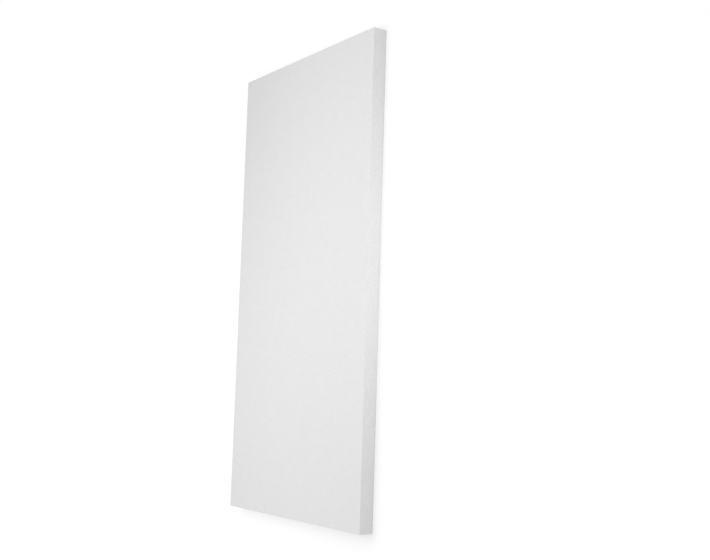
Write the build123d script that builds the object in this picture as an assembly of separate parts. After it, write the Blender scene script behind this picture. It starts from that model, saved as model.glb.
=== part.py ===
"""Expanded polystyrene insulation board, one square-edged sheet lying flat.

The sheet is cut from a large moulded block of fused beads by a frame of hot
wires, so it is one solid piece with six plain faces, no skin and no rebate.
The cut leaves every arris square but slightly soft. The four corners, which
take the knocks, are a little rounder than the arrises between them.

Millimetres. +X runs along the length, +Y across the width and +Z up through
the thickness. The origin is the middle of the underside.
"""

from build123d import *

import os

# Driving dimensions: the sheet as it is sold
board_length = 2400.0
board_width = 1200.0
board_thickness = 75.0

# Driving dimensions: how soft the wire leaves the edges
corner_radius = 2.5
arris_radius = 1.2


def cut_outline():
    """The outline that the upright wires cut: a rectangle whose four corners are eased."""
    return RectangleRounded(board_length, board_width, corner_radius)


def ease_arrises(sheet):
    """Rounds the two closed loops of edges where the flat faces meet the cut sides."""
    underside = sheet.faces().sort_by(Axis.Z)[0]
    top = sheet.faces().sort_by(Axis.Z)[-1]
    return fillet(underside.edges() + top.edges(), arris_radius)


def insulation_board():
    """The sheet: its outline raised through the thickness that the level wires leave."""
    sheet = extrude(cut_outline(), amount=board_thickness)
    return ease_arrises(sheet)


def main():
    os.makedirs("parts", exist_ok=True)
    board = insulation_board()
    board.label = "insulation_board"
    export_step(board, "parts/insulation_board.step")
    print("board", board.bounding_box().size, "volume m3", round(board.volume * 1e-9, 5))


main()
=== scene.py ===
"""Looks of the expanded polystyrene insulation board.

One sheet lies flat on a pale studio floor. Its cut faces, soft arrises and crumbled
bead nicks are one closed mesh, and its fused beads are a procedural material.
Metres, in the frame of the model: +X along the length, +Y across, +Z up.
"""

import bpy
import numpy as np
from mathutils import Matrix, Vector


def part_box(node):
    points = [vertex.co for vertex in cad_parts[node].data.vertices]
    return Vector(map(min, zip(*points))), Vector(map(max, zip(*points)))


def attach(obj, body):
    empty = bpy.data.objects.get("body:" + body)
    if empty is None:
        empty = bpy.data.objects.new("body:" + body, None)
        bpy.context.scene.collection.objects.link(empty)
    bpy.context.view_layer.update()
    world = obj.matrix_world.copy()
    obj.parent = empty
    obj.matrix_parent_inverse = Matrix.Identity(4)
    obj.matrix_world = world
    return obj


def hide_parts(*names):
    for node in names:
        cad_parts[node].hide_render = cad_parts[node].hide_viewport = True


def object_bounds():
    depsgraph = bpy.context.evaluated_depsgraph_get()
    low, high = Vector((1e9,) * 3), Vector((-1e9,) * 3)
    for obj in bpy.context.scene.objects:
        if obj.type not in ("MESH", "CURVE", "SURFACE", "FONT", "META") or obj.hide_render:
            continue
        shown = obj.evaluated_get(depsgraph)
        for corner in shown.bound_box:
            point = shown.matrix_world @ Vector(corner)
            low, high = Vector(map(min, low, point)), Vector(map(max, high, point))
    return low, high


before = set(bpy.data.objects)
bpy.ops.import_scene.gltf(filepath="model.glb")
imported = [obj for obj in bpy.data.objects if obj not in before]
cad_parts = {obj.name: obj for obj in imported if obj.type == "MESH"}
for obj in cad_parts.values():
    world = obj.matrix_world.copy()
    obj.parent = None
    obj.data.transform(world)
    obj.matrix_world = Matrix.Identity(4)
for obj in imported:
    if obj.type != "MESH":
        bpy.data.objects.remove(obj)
model_low, model_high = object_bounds()


# Camera. The photograph shows the sheet on its short end, seen a little from one side.
# The sheet lies flat here, so the same view of it looks down over its near long edge,
# and is turned so that the length of the sheet still runs up the picture.
eye = Vector((-0.531, -4.370, 2.893))
line_of_sight = Vector((0.1059, 0.8035, -0.5858))
up_in_picture = Vector((0.9939, -0.0675, 0.0871))
focal_length_px = 1009.1
picture_width_px = 710
sensor_width_mm = 36.0
farthest_seen = 100.0


def camera_place(eye, line_of_sight, up_in_picture):
    """A frame whose columns are the picture's right, its up and the way back, set at the eye."""
    back = -line_of_sight.normalized()
    right = up_in_picture.cross(back).normalized()
    up = back.cross(right)
    return Matrix.Translation(eye) @ Matrix((right, up, back)).transposed().to_4x4()


lens = bpy.data.cameras.new("camera")
lens.sensor_width = sensor_width_mm
lens.lens = focal_length_px * sensor_width_mm / picture_width_px
lens.clip_end = farthest_seen
camera = bpy.data.objects.new("camera", lens)
camera.matrix_world = camera_place(eye, line_of_sight, up_in_picture)
bpy.context.scene.collection.objects.link(camera)
bpy.context.scene.camera = camera
bpy.context.scene.view_settings.view_transform = "Standard"


# Studio light. An even white sky, one large soft box over the middle of the sheet, tilted
# towards the floor in front of its near long edge, and a small one low beside that edge,
# which makes the middle of the edge as bright as the top face.
white = (1.0, 1.0, 1.0, 1.0)
sky_strength = 0.669


def add_node(tree, kind, values=None, **settings):
    """A new node. Settings are its own properties. Values go to its inputs by name or number,
    each either a constant or another node's output, which is linked."""
    node = tree.nodes.new(kind)
    for name, setting in settings.items():
        setattr(node, name, setting)
    for name, value in (values or {}).items():
        if isinstance(value, bpy.types.NodeSocket):
            tree.links.new(value, node.inputs[name])
        else:
            node.inputs[name].default_value = value
    return node


def combined(tree, operation, *values):
    """The first value joined to each of the others in turn by one arithmetic operation."""
    total = values[0]
    for value in values[1:]:
        pair = {0: total, 1: value}
        total = add_node(tree, "ShaderNodeMath", pair, operation=operation).outputs[0]
    return total


def ray_is_seen(tree):
    """An output that is 1 for rays from the camera, in a mirror or through glass, else 0."""
    path = add_node(tree, "ShaderNodeLightPath").outputs
    kinds = ("Is Camera Ray", "Is Glossy Ray", "Is Transmission Ray")
    return combined(tree, "MAXIMUM", *[path[kind] for kind in kinds])


def studio_sky():
    """A world that lights with sky_strength, and that looks plain white where it is seen."""
    world = bpy.data.worlds.new("studio_sky")
    world.use_nodes = True
    tree = world.node_tree
    tree.nodes.clear()
    lights = add_node(tree, "ShaderNodeBackground", {"Color": white, "Strength": sky_strength})
    looks = add_node(tree, "ShaderNodeBackground", {"Color": white, "Strength": 1.0})
    both = {0: ray_is_seen(tree), 1: lights.outputs[0], 2: looks.outputs[0]}
    sky = add_node(tree, "ShaderNodeMixShader", both)
    add_node(tree, "ShaderNodeOutputWorld", {"Surface": sky.outputs[0]})
    return world


def soft_box(name, place, aim, width, height, watts):
    """A flat lamp with two level sides, facing the aim, that can't itself be seen."""
    lamp = bpy.data.lights.new(name, "AREA")
    lamp.shape = "RECTANGLE"
    lamp.size = width
    lamp.size_y = height
    lamp.energy = watts
    box = bpy.data.objects.new(name, lamp)
    facing = (Vector(aim) - Vector(place)).to_track_quat("-Z", "Y")
    box.matrix_world = Matrix.Translation(place) @ facing.to_matrix().to_4x4()
    box.visible_camera = False
    box.visible_glossy = False
    bpy.context.scene.collection.objects.link(box)


bpy.context.scene.world = studio_sky()
soft_box(
    "overhead_box",
    place=(0.02, -0.11, 2.08),
    aim=(-0.78, -1.50, 0.0),
    width=3.0,
    height=2.28,
    watts=20.6,
)
soft_box(
    "edge_box",
    place=(0.11, -1.90, 0.25),
    aim=(0.11, -0.30, 0.05),
    width=0.47,
    height=0.47,
    watts=4.9,
)


# Floor. A large sheet of matt pale studio board, level with the underside of the part.
# It is white where it is seen unshaded, and it keeps the soft shadow of the part.
floor_half_side = 30.0
floor_paint = (0.80, 0.80, 0.80, 1.0)
near_glow = 0.26
far_glow = 0.475
pool_middle = (-0.18, -0.60, 0.0)
pool_turn = (0.0, 0.0, -0.58)
pool_reach = (3.87, 3.25, 1.0)


def floor_material():
    """Matt paint, and for seen rays a glow. The lamps light an oval pool of the floor, brightest
    in its middle. At a share t of the way from there to the rim, the glow has gone through
    3 * t ** 2 - 2 * t ** 3 of its range, from near_glow to far_glow, and beyond the rim it
    stays, so that the whole floor is equally white."""
    material = bpy.data.materials.new("studio_floor")
    material.use_nodes = True
    tree = material.node_tree
    tree.nodes.clear()
    paint = add_node(tree, "ShaderNodeBsdfDiffuse", {"Color": floor_paint})
    place = add_node(tree, "ShaderNodeTexCoord").outputs["Object"]
    pool = {"Vector": place, "Location": pool_middle, "Rotation": pool_turn, "Scale": pool_reach}
    in_pool = add_node(tree, "ShaderNodeMapping", pool, vector_type="TEXTURE")
    away = add_node(tree, "ShaderNodeVectorMath", {0: in_pool.outputs[0]}, operation="LENGTH")
    ramp = {"Value": away.outputs["Value"], "To Min": near_glow, "To Max": far_glow}
    growth = add_node(tree, "ShaderNodeMapRange", ramp, interpolation_type="SMOOTHSTEP")
    strength = combined(tree, "MULTIPLY", growth.outputs[0], ray_is_seen(tree))
    glow = add_node(tree, "ShaderNodeEmission", {"Color": white, "Strength": strength})
    both = add_node(tree, "ShaderNodeAddShader", {0: paint.outputs[0], 1: glow.outputs[0]})
    add_node(tree, "ShaderNodeOutputMaterial", {"Surface": both.outputs[0]})
    return material


def floor_mesh():
    """Four corners of a level square at the height of the underside, one face, facing up."""
    corners = np.array([(-1, -1, 0), (1, -1, 0), (1, 1, 0), (-1, 1, 0)]) * floor_half_side
    corners[:, 2] = model_low.z
    mesh = bpy.data.meshes.new("floor")
    mesh.from_pydata(corners.tolist(), [], [(0, 1, 2, 3)])
    mesh.materials.append(floor_material())
    return mesh


floor = bpy.data.objects.new("floor", floor_mesh())
bpy.context.scene.collection.objects.link(floor)


# Board. One sheet of expanded polystyrene, sliced from a moulded block of steam-fused beads
# by hot wires. Upright wires cut its outline and level wires its faces, so every face has a
# faint ripple, and each arris is a small soft round with nicks where part of a bead came away.
board_low, board_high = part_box("insulation_board")
half_size = np.array([(board_high.x - board_low.x) / 2, (board_high.y - board_low.y) / 2])
thickness = board_high.z - board_low.z
corner_radius = 0.0025
arris_radius = 0.0012
bead_size = 0.0046

# What the wires leave: the depth of the ripples and the range of their wavelengths, and the
# shares of its radius by which an arris wanders, over a few beads
face_ripple_depth = 0.00022
face_ripple_lengths = (0.11, 0.6)
side_ripple_depth = 0.00012
side_ripple_lengths = (0.02, 0.3)
shared_wander = 0.5
shared_wander_lengths = (2 * bead_size, 12 * bead_size)
own_wander = 0.4
own_wander_lengths = (2 * bead_size, 6 * bead_size)

# Nicks: their spacing, reach and greatest depth, how rare deep ones are, and how much of a
# nick's depth a leg takes
nick_spacing = 3 * bead_size
nick_reach_in_beads = (0.5, 0.95)
nick_depth_in_beads = 0.55
nick_rarity = 3
bite_share = (0.7, 1.0)

# How finely the surface is divided, how far past a round it is flat again, and how far in
# from the edges its rows run straight
cells_along, cells_across = 120, 60
steps_per_cell = 10
steps_per_corner = 4
steps_per_arris = 5
rows_down_side = 3
flat_margin = 0.0015
straight_inset = 0.008

# The gap between the pieces of the map, and a seed for each random draw
map_gap = 0.006
seeds = {"top": 11, "underside": 12, "sides": 13, "arrises": 14}


def waves(places, shortest, longest, count, draw):
    """A sum of sines of random phase, whose lengths run from shortest to longest and whose
    heights grow with the root of their length, scaled to lie between -1 and 1."""
    lengths = np.geomspace(shortest, longest, count)
    phases = draw.uniform(0, 2 * np.pi, count)
    heights = np.sqrt(lengths) / np.sqrt(lengths).sum()
    return (heights * np.sin(2 * np.pi * places[..., None] / lengths + phases)).sum(-1)


def ripple(places, deepest, shortest, longest, count, draw):
    """Depth that a shaking wire cut: waves lifted to lie between nothing and the deepest."""
    return deepest * (0.5 + 0.5 * waves(places, shortest, longest, count, draw))


def face_ripple(x, seed):
    """Depth of the ripple that a level wire left in a large face, along the length."""
    draw = np.random.default_rng(seed)
    return ripple(x, face_ripple_depth, *face_ripple_lengths, count=6, draw=draw)


def outline_samples():
    """Steps round the outline, anticlockwise from the start of the near long side. A point of
    the outline at an inset is lean * (half_size - corner_radius - inset), plus corner_radius *
    facing. Along a straight, lean goes evenly from one corner to the next and facing stays
    put. Round a corner, lean stays put and facing turns by a quarter. Returns every step's
    lean and facing, how far round it starts and lastly how far round it all is, every step's
    side, and the point of the coarse grid's border that is nearest to it."""
    leans, facings, border, sides, first = [], [], [], [], 0
    for side, cells in enumerate([cells_along, cells_across] * 2):
        start = (side - 1) * np.pi / 2
        out = np.array([np.cos(start), np.sin(start)])
        along = np.array([-out[1], out[0]])
        steps = cells * steps_per_cell
        leans.append(out + np.linspace(-1, 1, steps + 1)[:, None] * along)
        facings.append(np.repeat(out[None], steps + 1, 0))
        turn = start + np.linspace(0, np.pi / 2, steps_per_corner + 1)[1:-1, None]
        leans.append(np.repeat((out + along)[None], len(turn), 0))
        facings.append(np.hstack([np.cos(turn), np.sin(turn)]))
        nearest = np.round((np.arange(steps) + 0.5) / steps_per_cell)
        border.append(first + np.clip(nearest, 1, cells - 1).astype(int) - 1)
        first += cells - 2
        border.append(np.full(steps_per_corner, first))
        sides.append(np.full(steps + steps_per_corner, side))
    border, sides = np.concatenate(border) % first, np.concatenate(sides)
    leans, facings = np.vstack(leans), np.vstack(facings)
    points = leans * (half_size - corner_radius) + corner_radius * facings
    hops = np.linalg.norm(np.diff(points, axis=0, append=points[:1]), axis=1)
    return leans, facings, np.concatenate([[0.0], np.cumsum(hops)]), sides, border


def nicks(places, length, draw):
    """Depth of the nicks at places along an arris: each is a parabola one to two beads wide,
    most of them are shallow, and where two overlap the deeper one counts."""
    count = int(length / nick_spacing)
    middles = draw.uniform(0, length, count)
    reaches = draw.uniform(*nick_reach_in_beads, count) * bead_size
    depths = draw.uniform(0, 1, count) ** nick_rarity * nick_depth_in_beads * bead_size
    away = (places[:, None] - middles) / reaches
    return (depths * np.clip(1 - away ** 2, 0, None)).max(1)


def arris_legs(places, length, draw):
    """How far an arris's round reaches along the face, and how far down the side: the soft
    radius times a random wander, partly shared by both, plus most of the depth of the nicks."""
    shared = waves(places, *shared_wander_lengths, count=7, draw=draw)
    bites = nicks(places, length, draw)
    legs = []
    for share in draw.uniform(*bite_share, 2):
        own = waves(places, *own_wander_lengths, count=5, draw=draw)
        radius = arris_radius * (1 + shared_wander * shared + own_wander * own)
        legs.append(radius + bites * share)
    return legs


def side_band(leans, facings, run):
    """The band from a straight line on the top face, down the sides, to a straight line on the
    underside: the profile of side and arrises carried round the outline. Row by row, a quarter
    ellipse turns from the top into the side, rows go down the side, and a quarter ellipse
    turns under. Returns points by rows and steps."""
    places, length = run[:-1], run[-1]
    draw = np.random.default_rng(seeds["arrises"])
    top_in, top_down = arris_legs(places, length, draw)
    under_in, under_up = arris_legs(places, length, draw)
    draw = np.random.default_rng(seeds["sides"])
    side_in = ripple(places, side_ripple_depth, *side_ripple_lengths, count=9, draw=draw)
    turn = np.linspace(0, np.pi / 2, steps_per_arris + 1)[:, None]
    share = np.linspace(0, 1, rows_down_side)[:, None]
    highest = thickness - top_down - flat_margin
    lowest = under_up + flat_margin
    all_round = np.ones((1, len(places)))
    inset = np.vstack([
        straight_inset * all_round,
        (top_in + flat_margin) * all_round,
        side_in + (top_in - side_in) * (1 - np.sin(turn)),
        side_in * np.ones_like(share),
        side_in + (under_in - side_in) * (1 - np.cos(turn)),
        (under_in + flat_margin) * all_round,
        straight_inset * all_round,
    ])
    height = np.vstack([
        thickness * all_round,
        thickness * all_round,
        thickness - top_down * (1 - np.cos(turn)),
        highest + (lowest - highest) * share,
        under_up * (1 - np.sin(turn)),
        0 * all_round,
        0 * all_round,
    ])
    plan = leans * (half_size - corner_radius - inset[..., None]) + corner_radius * facings
    near_top = height / thickness
    sinks = face_ripple(plan[..., 0], seeds["top"]) * near_top
    rises = face_ripple(plan[..., 0], seeds["underside"]) * (1 - near_top)
    return np.dstack([plan, height - sinks + rises])


def face_grid(height, seed):
    """The even coarse grid of a large face, from one cell inside its edges, at a height and
    with the ripple cut into it. Returns points by x and y."""
    x = np.linspace(-1, 1, cells_along + 1)[1:-1] * half_size[0]
    y = np.linspace(-1, 1, cells_across + 1)[1:-1] * half_size[1]
    grid_x, grid_y = np.meshgrid(x, y, indexing="ij")
    inwards = -1 if height > 0 else 1
    return np.dstack([grid_x, grid_y, height + inwards * face_ripple(grid_x, seed)])


def grid_quads(numbers):
    """The four-cornered faces of a grid of point numbers, turning from rows to columns."""
    corners = [numbers[:-1, :-1], numbers[1:, :-1], numbers[1:, 1:], numbers[:-1, 1:]]
    return np.stack(corners, -1).reshape(-1, 4)


def border_of(numbers):
    """The point numbers round the border of a grid, in the order of the outline's steps."""
    near, right = numbers[:-1, 0], numbers[-1, :-1]
    far, left = numbers[:0:-1, -1], numbers[0, :0:-1]
    return np.concatenate([near, right, far, left])


def fans(ring, rim, border):
    """Triangles between a fine ring and the coarse border inside it: one from each fine edge
    to its border point, and one from each border edge to the fine point where that changes."""
    fine = np.stack([ring, np.roll(ring, -1), rim[border]], 1)
    change = np.flatnonzero(border != np.roll(border, 1))
    coarse = np.stack([ring[change], rim[border[change]], rim[np.roll(border, 1)[change]]], 1)
    return np.vstack([fine, coarse])


def board_map(points, groups, band, run, sides):
    """The place of every corner of every face on one map, group by group. In metres, the top
    lies at the map's corner, the underside lies turned over beside it, and then come three
    strips: one for each long side, and one that the short sides share. On a strip, a corner
    is as far along as it is round its side, and as far down as the band's mean width to its
    row. The whole height of the map is then scaled to 1."""
    top_grid, under_grid, top_fans, under_fans = groups[1:]
    next_face = 2 * half_size[1] + map_gap
    first_strip = 2 * next_face
    row_widths = np.linalg.norm(np.diff(band, axis=0), axis=2).mean(1)
    down = np.concatenate([[0.0], np.cumsum(row_widths)])
    strip = down[-1] + map_gap
    side_origins = np.array([(0, 0), (0, 2 * strip), (0, strip), (next_face, 2 * strip)])
    side_starts = run[np.searchsorted(sides, range(4))]
    along = np.stack([run[:-1], run[:-1], run[1:], run[1:]], -1) - side_starts[sides][:, None]
    across = np.stack([down[:-1], down[1:], down[1:], down[:-1]], -1)
    strips = np.stack(np.broadcast_arrays(along[None], across[:, None]), -1)
    under_middle = half_size + (0, next_face)
    places = [
        strips + (side_origins[sides] + (0, first_strip))[:, None],
        points[top_grid, :2] + half_size,
        points[under_grid, :2] * (-1, 1) + under_middle,
        points[top_fans, :2] + half_size,
        points[under_fans, :2] * (-1, 1) + under_middle,
    ]
    flat = np.vstack([group_places.reshape(-1, 2) for group_places in places])
    return (flat + map_gap / 2) / (first_strip + 3 * strip)


def board_surface():
    """The points of one closed surface, its faces as corner numbers, and their places on the
    map. The faces come in five groups: the side band, the grids of the top and the underside,
    and the fans that join each grid to the band."""
    leans, facings, run, sides, border = outline_samples()
    band = side_band(leans, facings, run)
    top = face_grid(thickness, seeds["top"])
    under = face_grid(0.0, seeds["underside"])
    points = np.vstack([part.reshape(-1, 3) for part in (band, top, under)])
    points[:, 2] += board_low.z
    band_numbers = np.arange(band[..., 0].size).reshape(band.shape[:2])
    top_numbers = band_numbers.size + np.arange(top[..., 0].size).reshape(top.shape[:2])
    under_numbers = top_numbers + top_numbers.size
    groups = [
        grid_quads(np.hstack([band_numbers, band_numbers[:, :1]])),
        grid_quads(top_numbers),
        grid_quads(under_numbers)[:, ::-1],
        fans(band_numbers[0], border_of(top_numbers), border),
        fans(band_numbers[-1], border_of(under_numbers), border)[:, ::-1],
    ]
    return points, groups, board_map(points, groups, band, run, sides)


def board_mesh():
    """The surface as a smooth-shaded mesh with its own map, named OFBake."""
    points, groups, places = board_surface()
    mesh = bpy.data.meshes.new("insulation_sheet")
    mesh.from_pydata(points.tolist(), [], [face for group in groups for face in group.tolist()])
    sheet_map = mesh.uv_layers.new(name="OFBake")
    sheet_map.data.foreach_set("uv", places.ravel())
    mesh.shade_smooth()
    return mesh


# Foam of the board. Steam-fused beads a few millimetres across, each a white closed-cell foam.
# A cut face shows the beads sliced through: each has its own faint tone and gloss, a thin
# sunken seam runs where two are fused, and a small pit stays open where several meet.
foam_white = 0.84
foam_specular = 0.35
cut_roughness = 0.58
roughness_spread = 0.10

# Tones, as the share of the white by which each may change it. The pits' share is painted shade in
# their hollows
bead_tone = 0.015
# painted shade: how much darker the pits are made, as if shade fell in them
seam_tone = 0.05
pit_painted_shade = 0.16
cloud_tone = 0.005
streak_tone = 0.003

# Beads: how unevenly they are spread, half the width of the gap at a seam and at a pit and how
# far from a bead's middle a pit opens, all three in beads, and how much of a seam shows where
# the fusing is tight and where it is loose
bead_disorder = 0.9
seam_half_width = 0.045
pit_half_width = 0.12
pit_from, pit_to = 0.58, 0.90
tightest_seam, loosest_seam = 0.35, 0.9

# Relief, in millimetres
millimetre = 0.001
seam_depth_mm = 0.04
pit_depth_mm = 0.30
dome_height_mm = 0.05
cell_grain_mm = 0.006

# Noises: the size of their lumps and how far the seams wander, in metres, the streaks to a
# metre along the length and across it, and the range of noise that a change is spread over
wander_size = 0.0030
wander_reach = 0.0011
fusing_size = 0.012
cloud_size = 0.07
cell_size = 0.0003
streak_stretch = (0.8, 90.0, 90.0)
fusing_low, fusing_high = 0.35, 0.65
noise_low, noise_high = 0.3, 0.7


def ranged(tree, value, low, high, to_low, to_high):
    """The value carried from one range to another and held at its ends: its share t of the way
    through the first becomes 3 * t ** 2 - 2 * t ** 3 of the way through the second. An end may
    itself be another node's output."""
    ends = {"Value": value, "From Min": low, "From Max": high, "To Min": to_low, "To Max": to_high}
    return add_node(tree, "ShaderNodeMapRange", ends, interpolation_type="SMOOTHSTEP").outputs[0]


def noise(tree, place, size, detail):
    """Smooth noise whose largest lumps are about the given size. Returns its value and colour."""
    lumps = {"Vector": place, "Scale": 1 / size, "Detail": detail}
    return add_node(tree, "ShaderNodeTexNoise", lumps).outputs


def sliced_beads(tree, place):
    """Beads with their middles scattered through space: a bead is every place that is nearer to
    its middle than to another, and places wander a little so that no seam is straight. A gap
    opens near the edge of a bead, wider near its corners. The seam is the gap times how loosely
    the beads are fused there, and the pit is the gap times how near a corner is. Returns a
    bead's random lot, the distance from its middle, the seam and the pit."""
    wander = add_node(tree, "ShaderNodeVectorMath", {
        0: noise(tree, place, wander_size, detail=0.0)["Color"],
        1: (wander_reach,) * 3,
        2: place,
    }, operation="MULTIPLY_ADD").outputs[0]
    cells = {"Vector": wander, "Scale": 1 / bead_size, "Randomness": bead_disorder}
    bead = add_node(tree, "ShaderNodeTexVoronoi", cells, feature="F1").outputs
    to_edge = add_node(tree, "ShaderNodeTexVoronoi", cells, feature="DISTANCE_TO_EDGE").outputs
    lot = add_node(tree, "ShaderNodeSeparateColor", {0: bead["Color"]}).outputs
    fusing = noise(tree, place, fusing_size, detail=1.0)[0]
    looseness = ranged(tree, fusing, fusing_low, fusing_high, tightest_seam, loosest_seam)
    corner = ranged(tree, bead["Distance"], pit_from, pit_to, 0.0, 1.0)
    half_gap = ranged(tree, corner, 0.0, 1.0, seam_half_width, pit_half_width)
    gap = ranged(tree, to_edge["Distance"], 0.0, half_gap, 1.0, 0.0)
    seam = combined(tree, "MULTIPLY", gap, looseness)
    pit = combined(tree, "MULTIPLY", gap, corner)
    return lot, bead["Distance"], seam, pit


def foam_material():
    """A white dielectric on Object coordinates. Its tone is the bead's own white times factors
    for the seam, painted shade in the pit, broad clouds and the wire's streaks along the
    length. Its relief sinks by the seam, the pit and the square of the distance from the
    bead's middle, and rises by the grain of the cells. Its roughness differs from bead to bead."""
    material = bpy.data.materials.new("expanded_polystyrene")
    material.use_nodes = True
    tree = material.node_tree
    tree.nodes.clear()
    place = add_node(tree, "ShaderNodeTexCoord").outputs["Object"]
    lot, from_middle, seam, pit = sliced_beads(tree, place)
    cloud = noise(tree, place, cloud_size, detail=3.0)[0]
    grain = noise(tree, place, cell_size, detail=1.0)[0]
    streaked = {"Vector": place, "Scale": streak_stretch}
    stretched = add_node(tree, "ShaderNodeMapping", streaked).outputs[0]
    streak = noise(tree, stretched, size=1.0, detail=2.0)[0]
    tone = combined(
        tree,
        "MULTIPLY",
        ranged(tree, lot[0], 0.0, 1.0, foam_white * (1 - bead_tone), foam_white * (1 + bead_tone)),
        ranged(tree, seam, 0.0, 1.0, 1.0, 1 - seam_tone),
        # painted shade: the pits are darkened in tone, as if shade fell in them
        ranged(tree, pit, 0.0, 1.0, 1.0, 1 - pit_painted_shade),
        ranged(tree, cloud, noise_low, noise_high, 1 - cloud_tone, 1 + cloud_tone),
        ranged(tree, streak, noise_low, noise_high, 1 - streak_tone, 1 + streak_tone),
    )
    height_mm = combined(
        tree,
        "ADD",
        combined(tree, "MULTIPLY", seam, -seam_depth_mm),
        combined(tree, "MULTIPLY", pit, -pit_depth_mm),
        combined(tree, "MULTIPLY", from_middle, from_middle, -dome_height_mm),
        combined(tree, "MULTIPLY", grain, cell_grain_mm),
    )
    bump = {"Height": height_mm, "Distance": millimetre, "Strength": 1.0}
    relief = add_node(tree, "ShaderNodeBump", bump).outputs[0]
    smoothest = cut_roughness - roughness_spread
    roughest = cut_roughness + roughness_spread
    foam = add_node(tree, "ShaderNodeBsdfPrincipled", {
        "Base Color": tone,
        "Roughness": ranged(tree, lot[1], 0.0, 1.0, smoothest, roughest),
        "Normal": relief,
        "Specular IOR Level": foam_specular,
    })
    add_node(tree, "ShaderNodeOutputMaterial", {"Surface": foam.outputs[0]})
    return material


sheet = bpy.data.objects.new("insulation_sheet", board_mesh())
sheet.data.materials.append(foam_material())
bpy.context.scene.collection.objects.link(sheet)
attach(sheet, "root")
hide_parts("insulation_board")
